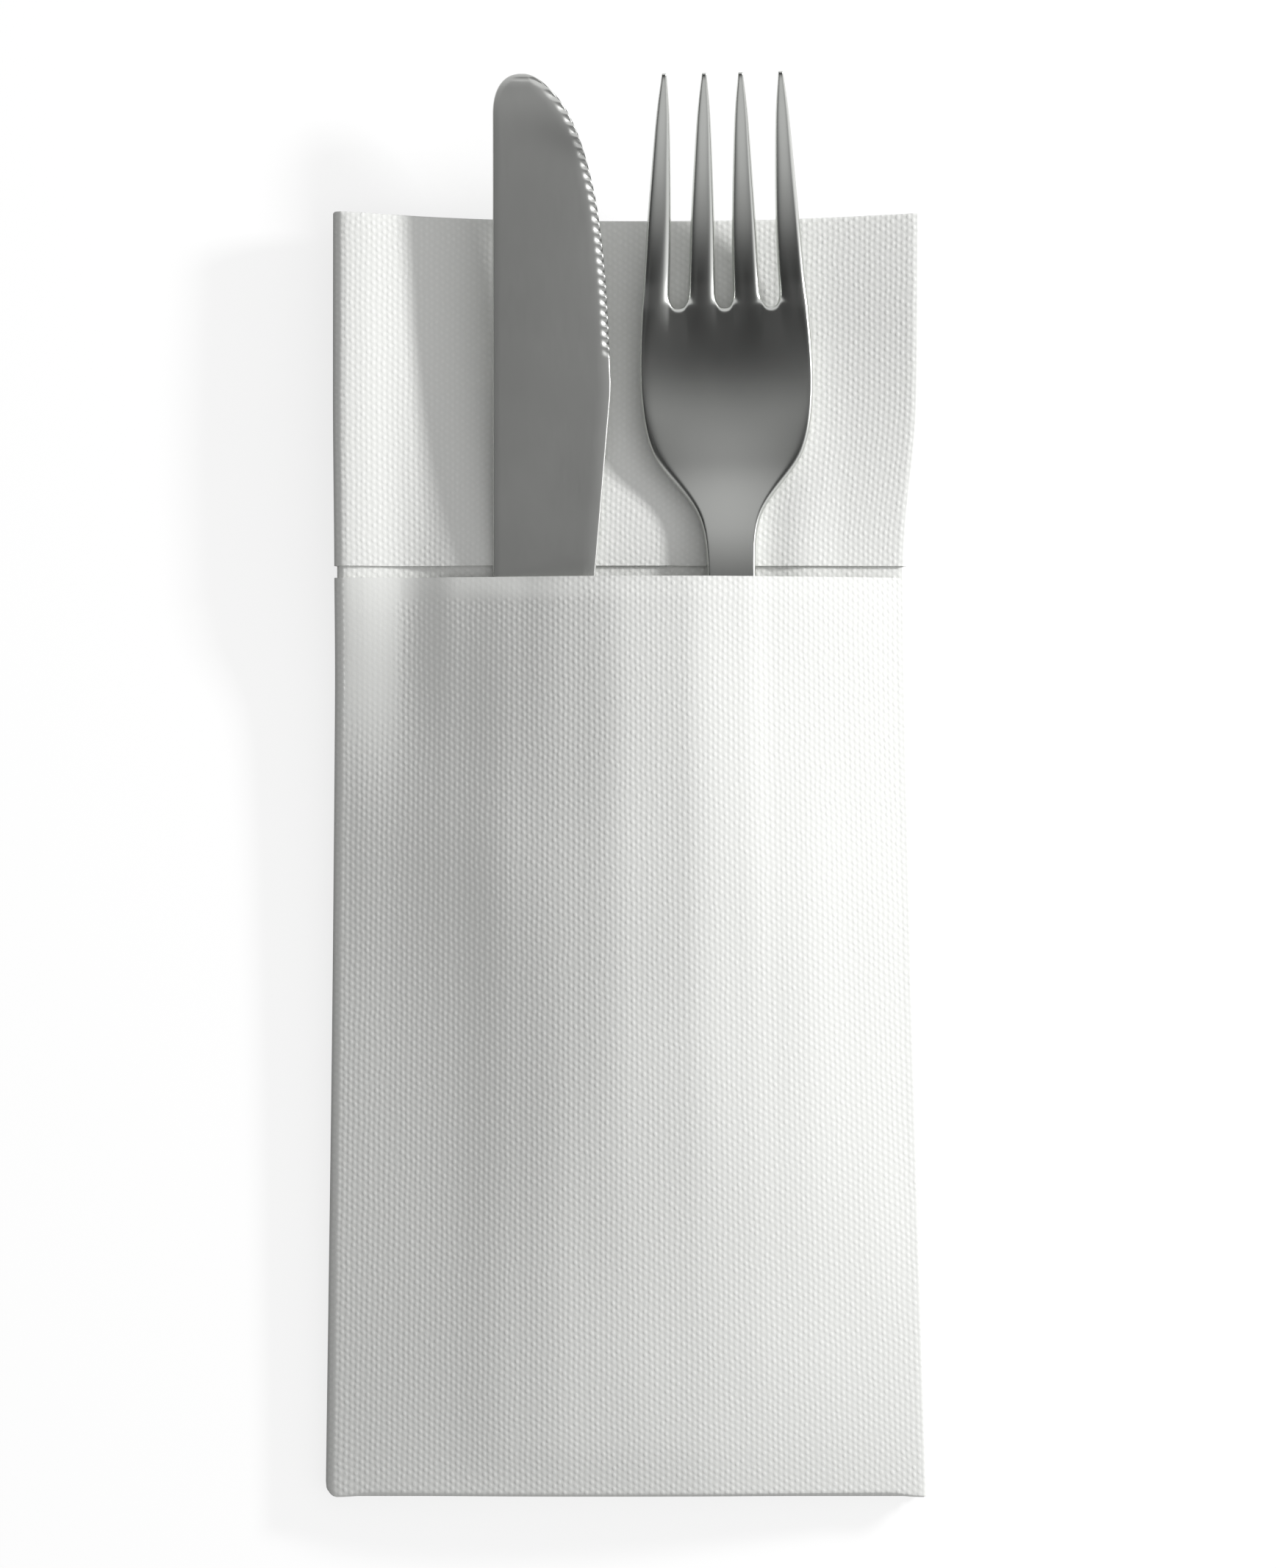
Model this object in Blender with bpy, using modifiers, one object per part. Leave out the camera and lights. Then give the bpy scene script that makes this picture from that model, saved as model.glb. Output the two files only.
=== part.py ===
"""Paper pouch napkin that holds a table knife and a table fork, lying on its back.

Metres, +Z up. +Y runs from the napkin's bottom fold to the tips of the cutlery, and +X to the right of someone
who looks down at the pouch. The origin is at the middle of the bottom of the whole object's box.
"""

import math

import bmesh
import bpy
from mathutils import Matrix, Vector

# Sheet: its paper and its folds
SHEET_WIDTH = 0.400
PAPER = 0.0003
LAYER_PITCH = 0.0005
NAPKIN_LENGTH = 0.2155
POCKET_DEPTH = 0.1545
STRIP_WIDTH = 0.0020

# Sheet: how far its sides rise and draw in, at rows from the bottom fold to the top fold
SIDE_ROWS = (0.0, 0.46, 0.72, 0.86, 1.0)
LEFT_RISE = (0.0, 0.0010, 0.0015, 0.0020, 0.0040)
RIGHT_RISE = (0.0, 0.0018, 0.0030, 0.0030, 0.0028)
LEFT_DRAW = (0.0, 0.0012, 0.0016, 0.0012, 0.0010)
RIGHT_DRAW = (0.0, 0.0026, 0.0042, 0.0012, 0.0008)

# Sheet: the back and the flap stand a little off the layers beneath them, most of all at the mouth
MOUTH_RISE = 0.0034
RISE_BELOW = 0.045
RISE_ABOVE = 0.040

# Sheet: the pouch's front arches over the handles. Shares of its height over the knife, then of its crest's height
LEFT_SIDE = 0.45
LEFT_OF_KNIFE = 0.9
RIGHT_OF_KNIFE = 0.95
RIGHT_OF_FORK = 0.93
RIGHT_SIDE = 0.50
ARCH_AIR = 0.0020
PAPER_REACH = 0.012

# Fits
SEAT_GAP = 0.0003
DRAPE_GAP = 0.0005

# Knife, from the end of its handle to its tip
KNIFE_LENGTH = 0.2325
KNIFE_FROM_FOLD = 0.0060
KNIFE_X = -0.0138
KNIFE_TILT = math.radians(1.4)
HANDLE_LENGTH = 0.128
HANDLE_WIDTH = 0.0195
HANDLE_THICKNESS = 0.0055
HANDLE_END_THICKNESS = 0.0036
HANDLE_END_LENGTH = 0.009
HANDLE_TAPER_START = 0.038
HANDLE_THICKEST = 0.058
BOLSTER_WIDTH = 0.012
BOLSTER_THICKNESS = 0.0040
HEEL_LENGTH = 0.020
HEEL_WIDTH = 0.0170
BLADE_WIDTH = 0.0197
SPINE_X = -0.0091
SPINE_THICKNESS = 0.0016
EDGE_THICKNESS = 0.0004
POINT_LENGTH = 0.0525
TIP_FROM_SPINE = 0.005
TIP_ROUND_LENGTH = 0.007
HANDLE_SQUARENESS = 2.6
BLADE_SQUARENESS = 8

# Fork, from the end of its handle to the tips of its tines
FORK_LENGTH = 0.205
FORK_FROM_FOLD = 0.0324
FORK_X = 0.0159
FORK_ROLL = math.radians(1)
FORK_TILT = math.radians(0.5)
FORK_YAW = math.radians(1.3)
FORK_THICKNESS = 0.0024
TINE_LENGTH = 0.0375
TIP_THICKNESS = 0.0009
FORK_HEAD_WIDTH = 0.0292
FORK_NECK_WIDTH = 0.0081
FORK_NECK_THICKNESS = 0.0032
FORK_HANDLE_WIDTH = 0.0180
FORK_HANDLE_WIDEST = 0.025
FORK_NECK_START = 0.080
FORK_NECK_END = 0.046
FORK_BOWL_DEPTH = 0.0016
FORK_ARCH_HEIGHT = 0.0052
FORK_TIP_HEIGHT = 0.0125
FORK_END_LENGTH = 0.008
FORK_END_BLUNTNESS = 0.002

# Fork: its outline and its middle surface, at distances below the bottoms of the slots
SHOULDER = (
    (0.0400, 0.29),
    (0.0350, 0.36),
    (0.0300, 0.60),
    (0.0250, 0.86),
    (0.0190, 0.965),
    (0.0120, 1.0),
    (0.0, 0.965),
)
ARCH = ((0.078, 1.0), (0.060, 0.93), (0.045, 0.72), (0.026, 0.27), (0.008, 0.0))

PANELS = 4

# Fineness of the meshes
RING_POINTS = 14
HANDLE_END_RINGS = 4
MIDDLE_RINGS = 16
POINT_RINGS = 11
END_CAP = 0.0003
TIP_CAP = 0.0001
TURN_STEPS = 4

# Heights in the folded packet, from the surface that it lies on
FOLD_RADIUS = LAYER_PITCH / 2
PANEL = (SHEET_WIDTH - 5 * math.pi * LAYER_PITCH) / PANELS
PACKET_MIDDLE = (2 * PANELS - 1) * LAYER_PITCH / 2 + PAPER / 2
FRONT_PANEL = PACKET_MIDDLE + 3 * LAYER_PITCH
BACK_FACE = FRONT_PANEL - FOLD_RADIUS + PAPER / 2
FLAP_FACE = FRONT_PANEL + FOLD_RADIUS + PAPER / 2
POCKET_INNER_FACE = FLAP_FACE - PAPER
FLAP_LENGTH = NAPKIN_LENGTH - POCKET_DEPTH - STRIP_WIDTH


def between(stations, values, at):
    """Value at a place between stations, on straight lines, level beyond the first and the last."""
    if at <= stations[0]:
        return values[0]
    for i in range(1, len(stations)):
        if at <= stations[i]:
            share = (at - stations[i - 1]) / (stations[i] - stations[i - 1])
            return values[i - 1] + share * (values[i] - values[i - 1])
    return values[-1]


def smooth_between(points, at):
    """Value at a place on a smooth curve through (place, value) points, which never overshoots them."""
    places = [place for place, _ in points]
    values = [value for _, value in points]
    if at <= places[0]:
        return values[0]
    if at >= places[-1]:
        return values[-1]
    slopes = [(values[i + 1] - values[i]) / (places[i + 1] - places[i]) for i in range(len(points) - 1)]
    tangents = [slopes[0]]
    for before, after in zip(slopes, slopes[1:]):
        tangents.append(0 if before * after <= 0 else 2 * before * after / (before + after))
    tangents.append(slopes[-1])
    i = max(k for k in range(len(points) - 1) if places[k] <= at)
    step = places[i + 1] - places[i]
    t = (at - places[i]) / step
    start = values[i] * (1 + 2 * t) * (1 - t) ** 2 + tangents[i] * step * t * (1 - t) ** 2
    end = values[i + 1] * t * t * (3 - 2 * t) + tangents[i + 1] * step * t * t * (t - 1)
    return start + end


def round_end(distance, length):
    """Share of the full width at a distance from the end of a piece that ends in a half ellipse."""
    inside = min(1.0, max(0.0, distance / length))
    return math.sqrt(1 - (1 - inside) ** 2)


def spread(start, end, count, towards_end=False):
    """Places from start to end, closer together towards one of them."""
    if towards_end:
        return [start + (end - start) * math.sin(math.pi / 2 * i / count) for i in range(1, count + 1)]
    return [start + (end - start) * (1 - math.cos(math.pi / 2 * i / count)) for i in range(count)]


def bed(y):
    """Height of the layer that the steel lies on: the back inside the pouch, and the flap above its mouth."""
    level = BACK_FACE if y < POCKET_DEPTH else FLAP_FACE
    return level + mouth_rise(y)


def mouth_rise(y):
    stations = (
        POCKET_DEPTH - RISE_BELOW,
        POCKET_DEPTH,
        POCKET_DEPTH + STRIP_WIDTH,
        POCKET_DEPTH + STRIP_WIDTH + RISE_ABOVE,
    )
    return between(stations, (0.0, MOUTH_RISE, MOUTH_RISE, 0.0), y)


def seated(points):
    """The points, raised or lowered until the lowest place is the seat's gap above the layer beneath."""
    rise = max(bed(p.y) + SEAT_GAP - p.z for p in points if p.y < NAPKIN_LENGTH)
    return [p + Vector((0, 0, rise)) for p in points]


def knife_section(s):
    """Left side, right side, and thickness at each, of the knife at a distance s from its handle's end."""
    bolster = HANDLE_LENGTH
    heel = HANDLE_LENGTH + HEEL_LENGTH
    belly = KNIFE_LENGTH - POINT_LENGTH
    handle = HANDLE_WIDTH / 2
    tip_x = SPINE_X + TIP_FROM_SPINE
    left = smooth_between(
        ((0, -handle), (HANDLE_TAPER_START, -handle), (bolster, -BOLSTER_WIDTH / 2), (heel, SPINE_X)), s
    )
    right = smooth_between(
        (
            (0, handle),
            (HANDLE_TAPER_START, handle),
            (bolster, BOLSTER_WIDTH / 2),
            (heel, SPINE_X + HEEL_WIDTH),
            (belly, SPINE_X + BLADE_WIDTH),
        ),
        s,
    )
    thick = smooth_between(
        (
            (0, HANDLE_END_THICKNESS),
            (HANDLE_THICKEST, HANDLE_THICKNESS),
            (bolster, BOLSTER_THICKNESS),
            (heel, SPINE_THICKNESS),
        ),
        s,
    )
    thin = smooth_between(((bolster, thick), (heel, EDGE_THICKNESS)), s)
    end = round_end(s, HANDLE_END_LENGTH)
    point = round_end(KNIFE_LENGTH - s, POINT_LENGTH)
    corner = round_end(KNIFE_LENGTH - s, TIP_ROUND_LENGTH)
    if s > belly:
        right = tip_x + (right - tip_x) * point
        left = tip_x + (left - tip_x) * corner
    return left * end, right * end, thick * math.sqrt(end), thin * math.sqrt(end)


def ring(left, right, thick_left, thick_right, squareness):
    """Points of a closed section: an oval for a squareness of 2, and nearly a wedge for a large one."""
    points = []
    for k in range(RING_POINTS):
        angle = 2 * math.pi * k / RING_POINTS
        across = math.copysign(abs(math.cos(angle)) ** (2 / squareness), math.cos(angle))
        up = math.copysign(abs(math.sin(angle)) ** (2 / squareness), math.sin(angle))
        share = (across + 1) / 2
        x = left + (right - left) * share
        thickness = thick_left + (thick_right - thick_left) * share
        points.append((x, up * thickness / 2))
    return points


def knife_points():
    """Rings of the knife from its handle's end to its tip, laid in the pouch."""
    belly = KNIFE_LENGTH - POINT_LENGTH
    places = spread(END_CAP, HANDLE_END_LENGTH, HANDLE_END_RINGS)
    step = (belly - HANDLE_END_LENGTH) / MIDDLE_RINGS
    places += [HANDLE_END_LENGTH + step * i for i in range(MIDDLE_RINGS + 1)]
    places += spread(belly, KNIFE_LENGTH - TIP_CAP, POINT_RINGS, towards_end=True)
    lay = (
        Matrix.Translation((KNIFE_X, KNIFE_FROM_FOLD, 0))
        @ Matrix.Rotation(KNIFE_TILT, 4, "X")
    )
    rings = []
    for s in places:
        squareness = smooth_between(
            ((HANDLE_LENGTH, HANDLE_SQUARENESS), (HANDLE_LENGTH + HEEL_LENGTH, BLADE_SQUARENESS)), s
        )
        rings.append([lay @ Vector((x, s, z)) for x, z in ring(*knife_section(s), squareness)])
    points = seated([point for one in rings for point in one])
    return [points[i : i + RING_POINTS] for i in range(0, len(points), RING_POINTS)]


def loft(bm, rings):
    """Closes a row of rings into one skin, with a flat cap at each end."""
    made = [[bm.verts.new(point) for point in one] for one in rings]
    for first, second in zip(made, made[1:]):
        for k in range(len(first)):
            n = (k + 1) % len(first)
            bm.faces.new((first[k], second[k], second[n], first[n]))
    bm.faces.new(made[0])
    bm.faces.new(reversed(made[-1]))


def fork_half_width(s):
    """Half of the fork's width below its slots, at a distance s from its handle's end."""
    root = FORK_LENGTH - TINE_LENGTH
    head = FORK_HEAD_WIDTH / 2
    neck = FORK_NECK_WIDTH / 2
    handle = FORK_HANDLE_WIDTH / 2
    below = [
        (FORK_HANDLE_WIDEST, handle),
        (root - FORK_NECK_START, 1.15 * neck),
        (root - FORK_NECK_END, neck),
    ]
    width = smooth_between(below + [(root - at, share * head) for at, share in SHOULDER], s)
    return width * round_end(s + FORK_END_BLUNTNESS, FORK_END_LENGTH)


def fork_height(s):
    """Height of the fork's middle surface along its length: low at both ends of the handle's arch."""
    root = FORK_LENGTH - TINE_LENGTH
    arch = [(0.0, 0.0), (0.28 * root, 0.25 * FORK_ARCH_HEIGHT)]
    arch += [(root - at, share * FORK_ARCH_HEIGHT) for at, share in ARCH]
    tines = [(root + at * TINE_LENGTH, share * FORK_TIP_HEIGHT) for at, share in TINE_RISE]
    return smooth_between(arch + tines, s)


def fork_thickness(s):
    root = FORK_LENGTH - TINE_LENGTH
    return smooth_between(
        (
            (0, 0.8 * FORK_THICKNESS),
            (0.02, FORK_THICKNESS),
            (root - FORK_NECK_END, FORK_NECK_THICKNESS),
            (root - 0.020, FORK_THICKNESS),
            (root + 0.010, FORK_THICKNESS),
            (FORK_LENGTH, TIP_THICKNESS),
        ),
        s,
    )


# The head's eight lines across, as shares of its half width: the edges of four tines, with three slots between
TINE_LINES = (-1.0, -0.665, -0.440, -0.106, 0.106, 0.440, 0.665, 1.0)
SLOT_COLUMNS = (1, 3, 5)
TINE_SPREAD_AT_TIP = (0.0096, 0.0030)
TINE_WIDTHS = ((0.0, 0.0011), (0.006, 0.0025), (0.013, 0.0034), (0.025, 0.0045), (0.0375, 0.0049))
TINE_RISE = ((0.11, 0.012), (0.21, 0.05), (0.32, 0.12), (0.48, 0.275), (0.69, 0.54), (1.0, 1.0))


def tine_line(line, s):
    """Where one of the eight lines lies across the fork at a distance s from the handle's end."""
    root = FORK_LENGTH - TINE_LENGTH
    if s <= root:
        return TINE_LINES[line] * fork_half_width(s)
    tine = line - line % 2
    side = -1 if tine < 4 else 1
    at_root = (TINE_LINES[tine] + TINE_LINES[tine + 1]) / 2 * fork_half_width(root)
    at_tip = side * TINE_SPREAD_AT_TIP[0 if tine in (0, 6) else 1]
    share = (s - root) / TINE_LENGTH
    centre = at_root + (at_tip - at_root) * share ** 0.8
    width = smooth_between(TINE_WIDTHS, FORK_LENGTH - s)
    return centre + width / 2 * (1 if line % 2 else -1)


def fork_rows():
    root = FORK_LENGTH - TINE_LENGTH
    handle = [0.0, 0.002, 0.006, 0.014, 0.035, 0.060, 0.085]
    head = [root - at for at in (0.070, 0.056, 0.046, 0.040, 0.035, 0.030, 0.025, 0.019, 0.012, 0.006, 0.002)]
    tines = [root, root + 0.002, root + 0.008, root + 0.017, root + 0.026, FORK_LENGTH - 0.004, FORK_LENGTH]
    return handle + head + tines


def fork_place(s, across, w):
    """A point of the fork in its own frame: w runs from -0.5 at its underside to 0.5 at its face."""
    root = FORK_LENGTH - TINE_LENGTH
    step = 0.0005
    slope = math.atan2(fork_height(s + step) - fork_height(s - step), 2 * step)
    bowl = FORK_BOWL_DEPTH * smooth_between(((root - 0.044, 0), (root - 0.018, 1), (FORK_LENGTH, 0.5)), s)
    height = fork_height(s) + bowl * (2 * across / FORK_HEAD_WIDTH) ** 2
    offset = w * fork_thickness(s)
    return Vector((across, s - offset * math.sin(slope), height + offset * math.cos(slope)))


def slab(columns, rows, gone=()):
    """A flat slab of unit squares, columns by rows, one unit thick, without the squares in gone."""
    bm = bmesh.new()
    bmesh.ops.create_grid(bm, x_segments=columns, y_segments=rows, size=0.5)
    for vert in bm.verts:
        vert.co.x = (vert.co.x + 0.5) * columns
        vert.co.y = (vert.co.y + 0.5) * rows
    drop = [f for f in bm.faces if tuple(int(c) for c in f.calc_center_median().xy) in gone]
    bmesh.ops.delete(bm, geom=drop, context="FACES")
    bmesh.ops.solidify(bm, geom=bm.faces[:], thickness=1)
    middle = sum(vert.co.z for vert in bm.verts) / len(bm.verts)
    for vert in bm.verts:
        vert.co.z -= middle
    return bm


def fork_mesh():
    """The fork's cage, laid in the pouch: one slab whose slots are open between the tines."""
    rows = fork_rows()
    root_row = rows.index(FORK_LENGTH - TINE_LENGTH)
    gone = {(column, row) for column in SLOT_COLUMNS for row in range(root_row, len(rows) - 1)}
    bm = slab(len(TINE_LINES) - 1, len(rows) - 1, gone)
    lay = (
        Matrix.Translation((FORK_X, FORK_FROM_FOLD, 0))
        @ Matrix.Translation((0, FORK_LENGTH - TINE_LENGTH, 0))
        @ Matrix.Rotation(FORK_YAW, 4, "Z")
        @ Matrix.Rotation(FORK_TILT, 4, "X")
        @ Matrix.Rotation(FORK_ROLL, 4, "Y")
        @ Matrix.Translation((0, TINE_LENGTH - FORK_LENGTH, 0))
    )
    points = []
    for vert in bm.verts:
        s = rows[round(vert.co.y)]
        across = tine_line(round(vert.co.x), s)
        points.append(lay @ fork_place(s, across, vert.co.z))
    for vert, point in zip(bm.verts, seated(points)):
        vert.co = point
    return bm


def trace(pieces, start, heading, distance, offset):
    """Point at a distance along a path of (length, turn) pieces, moved offset to the left of the path."""
    x, y = start
    for index, (length, turn) in enumerate(pieces):
        step = distance if index == len(pieces) - 1 else min(distance, length)
        if turn:
            radius = length / turn
            turned = heading + step / radius
            x += radius * (math.sin(turned) - math.sin(heading))
            y += radius * (math.cos(heading) - math.cos(turned))
            heading = turned
        else:
            x += step * math.cos(heading)
            y += step * math.sin(heading)
        distance -= step
        if distance <= 0:
            break
    return x - offset * math.sin(heading), y + offset * math.cos(heading)


# The sheet's length runs from the mouth down the pouch's front, up the back, and down the flap
LENGTH_PIECES = (
    (POCKET_DEPTH, 0),
    (math.pi * FOLD_RADIUS, math.pi),
    (NAPKIN_LENGTH, 0),
    (math.pi * FOLD_RADIUS, math.pi),
    (FLAP_LENGTH, 0),
)
# Its width runs through the rearmost panel, the front one, and the two between them
WIDTH_PIECES = (
    (PANEL, 0),
    (3 * math.pi * LAYER_PITCH, -math.pi),
    (PANEL, 0),
    (math.pi * LAYER_PITCH, -math.pi),
    (PANEL, 0),
    (math.pi * LAYER_PITCH, math.pi),
    (PANEL, 0),
)


def folded(u, v, w):
    """Where a point of the flat sheet comes to lie in the flat packet."""
    y, depth = trace(LENGTH_PIECES, (POCKET_DEPTH, FOLD_RADIUS), math.pi, v, -w)
    x, height = trace(WIDTH_PIECES, (PANEL / 2, -3 * LAYER_PITCH), math.pi, u, depth)
    return x, y, PACKET_MIDDLE + height


def stations_along(pieces, flat_stations):
    """Distances along a path at the flat stations of each straight piece and at even steps of each turn."""
    found = []
    start = 0
    for index, (length, turn) in enumerate(pieces):
        if turn:
            found += [start + length * step / TURN_STEPS for step in range(1, TURN_STEPS)]
        else:
            found += [start + at for at in flat_stations[index]]
        start += length
    return found


def top_line(points):
    """(y, height) of the highest points of a piece at each of its rows, in order of y."""
    tops = {}
    for point in points:
        row = round(point.y, 3)
        tops[row] = max(tops.get(row, 0), point.z)
    return sorted(tops.items())


def sides_in_pocket(points):
    inside = [point.x for point in points if point.y < POCKET_DEPTH]
    return min(inside), max(inside)


class Drape:
    """How the packet leaves the plane: the rise of its sides and mouth, and its front's arch over the handles."""

    def __init__(self, knife, fork):
        half = PANEL / 2
        knife_left, knife_right = sides_in_pocket(knife)
        fork_left, fork_right = sides_in_pocket(fork)
        self.columns = (
            -half,
            (knife_left - half) / 2,
            knife_left,
            knife_right,
            fork_left,
            fork_right,
            (fork_right + half) / 2,
            half,
        )
        middles = [(left + right) / 2 for left, right in zip(self.columns, self.columns[1:])]
        self.front_columns = sorted(self.columns + tuple(middles))
        self.knife_top = top_line(knife)
        self.fork_top = top_line(fork)

    def height_over(self, line, y):
        """Height that clears a piece of steel at y, above the front's flat place."""
        near = [top for at, top in line if abs(at - y) < PAPER_REACH]
        return (max(near) if near else 0) + DRAPE_GAP - POCKET_INNER_FACE

    def front_arch(self, x, y):
        """How far the pouch's front stands above its flat place."""
        end = KNIFE_FROM_FOLD + 0.4 * HANDLE_END_LENGTH
        ramp = math.sin(math.pi / 2 * min(1.0, max(0.0, y / end)))
        air = ARCH_AIR * math.sqrt(math.sin(math.pi * min(1.0, max(0.0, y / POCKET_DEPTH))))
        over_knife = ramp * self.height_over(self.knife_top, max(y, KNIFE_FROM_FOLD + HANDLE_END_LENGTH))
        crest = max(over_knife + air, self.height_over(self.fork_top, y))
        heights = (
            0,
            LEFT_SIDE * over_knife,
            LEFT_OF_KNIFE * over_knife,
            max(over_knife, RIGHT_OF_KNIFE * crest),
            crest,
            RIGHT_OF_FORK * crest,
            RIGHT_SIDE * crest,
            0,
        )
        return smooth_between(tuple(zip(self.columns, heights)), x)

    def side_rise(self, x, y):
        row = y / NAPKIN_LENGTH
        left = between(SIDE_ROWS, LEFT_RISE, row)
        right = between(SIDE_ROWS, RIGHT_RISE, row)
        return between(self.columns, (left, left / 4, 0, 0, 0, 0, right / 4, right), x)

    def inner_rise(self, x, y):
        return mouth_rise(y) * between(self.columns, (0, 0.5, 1, 1, 1, 1, 0.5, 0), x)

    def drawn_in(self, x, y):
        """x with the packet's sides drawn in."""
        row = y / NAPKIN_LENGTH
        share = (x + PANEL / 2) / PANEL
        left = between(SIDE_ROWS, LEFT_DRAW, row) * (1 - share) ** 2
        right = between(SIDE_ROWS, RIGHT_DRAW, row) * share**2
        return x + left - right

    def place(self, u, v, w):
        x, y, z = folded(u, v, w)
        front_start = PANEL + WIDTH_PIECES[1][0]
        if front_start < u < front_start + PANEL:
            z += self.front_arch(x, y) if v < POCKET_DEPTH else self.inner_rise(x, y)
        return Vector((self.drawn_in(x, y), y, z + self.side_rise(x, y)))


def napkin_mesh(knife, fork):
    """The sheet: a flat slab of paper whose points are carried to their places in the folded packet."""
    drape = Drape(knife, fork)
    rightward = [x + PANEL / 2 for x in drape.columns]
    leftward = [PANEL / 2 - x for x in reversed(drape.columns)]
    front = [x + PANEL / 2 for x in drape.front_columns]
    across = stations_along(WIDTH_PIECES, {0: leftward, 2: front, 4: leftward, 6: rightward})
    upward = [POCKET_DEPTH * share for share in (0, 0.026, 0.058, 0.1, 0.2, 0.34, 0.48, 0.6)]
    upward += [POCKET_DEPTH - RISE_BELOW, 0.85 * POCKET_DEPTH, 0.94 * POCKET_DEPTH, POCKET_DEPTH]
    flap_edge = POCKET_DEPTH + STRIP_WIDTH
    rise_end = flap_edge + RISE_ABOVE
    above = [flap_edge, flap_edge + 0.25 * RISE_ABOVE, flap_edge + 0.6 * RISE_ABOVE, rise_end, NAPKIN_LENGTH]
    along = stations_along(
        LENGTH_PIECES,
        {
            0: [POCKET_DEPTH - y for y in reversed(upward)],
            2: upward + above,
            4: [NAPKIN_LENGTH - y for y in reversed(above)],
        },
    )
    bm = slab(len(across) - 1, len(along) - 1)
    for vert in bm.verts:
        u = across[round(vert.co.x)]
        v = along[round(vert.co.y)]
        vert.co = drape.place(u, v, vert.co.z * PAPER)
    split_alike(bm)
    return bm


def split_alike(bm):
    """Splits each square from its near left corner to its far right one, so that layers bend alike."""
    for face in list(bm.faces):
        corners = sorted(face.verts, key=lambda vert: vert.co.x + vert.co.y)
        first, last = corners[0], corners[-1]
        if not any(edge.other_vert(first) == last for edge in first.link_edges):
            bmesh.utils.face_split(face, first, last)


def make_material(name, colour, roughness, metallic):
    material = bpy.data.materials.new(name)
    material.use_nodes = True
    shader = material.node_tree.nodes["Principled BSDF"]
    shader.inputs["Base Color"].default_value = (*colour, 1)
    shader.inputs["Roughness"].default_value = roughness
    shader.inputs["Metallic"].default_value = metallic
    material.diffuse_color = (*colour, 1)
    return material


def make_object(name, bm, material, collection, parent):
    if bm.calc_volume(signed=True) < 0:
        bmesh.ops.reverse_faces(bm, faces=bm.faces)
    mesh = bpy.data.meshes.new(name)
    bm.to_mesh(mesh)
    bm.free()
    mesh.materials.append(material)
    mesh.shade_smooth()
    piece = bpy.data.objects.new(name, mesh)
    collection.objects.link(piece)
    piece.parent = parent
    return piece


def centre_on_origin(pieces, holder):
    """Moves the holder so that the middle of the bottom of the pieces' box is at the origin."""
    bpy.context.view_layer.update()
    graph = bpy.context.evaluated_depsgraph_get()
    corners = []
    for piece in pieces:
        shape = piece.evaluated_get(graph)
        corners += [shape.matrix_world @ vert.co for vert in shape.data.vertices]
    low = Vector(min(corner[axis] for corner in corners) for axis in range(3))
    high = Vector(max(corner[axis] for corner in corners) for axis in range(3))
    holder.location = (-(low.x + high.x) / 2, -(low.y + high.y) / 2, -low.z)
    bpy.context.view_layer.update()


def main():
    for old in list(bpy.data.objects):
        bpy.data.objects.remove(old, do_unlink=True)
    collection = bpy.data.collections.new("cutlery_pouch_napkin")
    bpy.context.scene.collection.children.link(collection)
    holder = bpy.data.objects.new("pouch_frame", None)
    collection.objects.link(holder)

    steel = make_material("satin_steel", (0.62, 0.63, 0.61), 0.3, 1.0)
    blade_steel = make_material("blade_steel", (0.50, 0.51, 0.49), 0.35, 1.0)
    paper = make_material("embossed_paper", (0.90, 0.90, 0.88), 0.9, 0.0)

    knife_bm = bmesh.new()
    loft(knife_bm, knife_points())
    fork_bm = fork_mesh()
    knife_at = [vert.co.copy() for vert in knife_bm.verts]
    fork_at = [vert.co.copy() for vert in fork_bm.verts]

    knife = make_object("knife", knife_bm, blade_steel, collection, holder)
    fork = make_object("fork", fork_bm, steel, collection, holder)
    rounding = fork.modifiers.new("rounding", "SUBSURF")
    rounding.levels = 1
    rounding.render_levels = 1
    napkin = make_object("napkin", napkin_mesh(knife_at, fork_at), paper, collection, holder)
    centre_on_origin((napkin, knife, fork), holder)


main()
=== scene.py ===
"""Embossed paper pouch napkin with a table knife and a table fork, seen from straight above."""

import math
import random

import bmesh
import bpy
from mathutils import Matrix, Vector, noise


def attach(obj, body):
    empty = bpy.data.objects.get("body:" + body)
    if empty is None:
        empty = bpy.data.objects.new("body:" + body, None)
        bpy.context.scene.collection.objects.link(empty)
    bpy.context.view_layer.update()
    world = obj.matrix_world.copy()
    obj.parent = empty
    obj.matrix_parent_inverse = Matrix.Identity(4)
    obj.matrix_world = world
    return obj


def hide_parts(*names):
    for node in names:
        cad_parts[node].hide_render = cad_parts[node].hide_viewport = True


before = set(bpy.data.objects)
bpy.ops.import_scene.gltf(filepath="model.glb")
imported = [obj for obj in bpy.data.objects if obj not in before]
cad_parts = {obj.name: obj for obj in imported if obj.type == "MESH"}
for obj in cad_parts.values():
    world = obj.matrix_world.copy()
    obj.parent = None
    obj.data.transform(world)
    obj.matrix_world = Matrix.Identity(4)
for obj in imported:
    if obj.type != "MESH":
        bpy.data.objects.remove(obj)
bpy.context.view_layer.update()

MM = 0.001

# Where the part's own frame stands in the row frame
PART_ORIGIN = Vector((0.0005, -0.1189741, 0.0))

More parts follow.
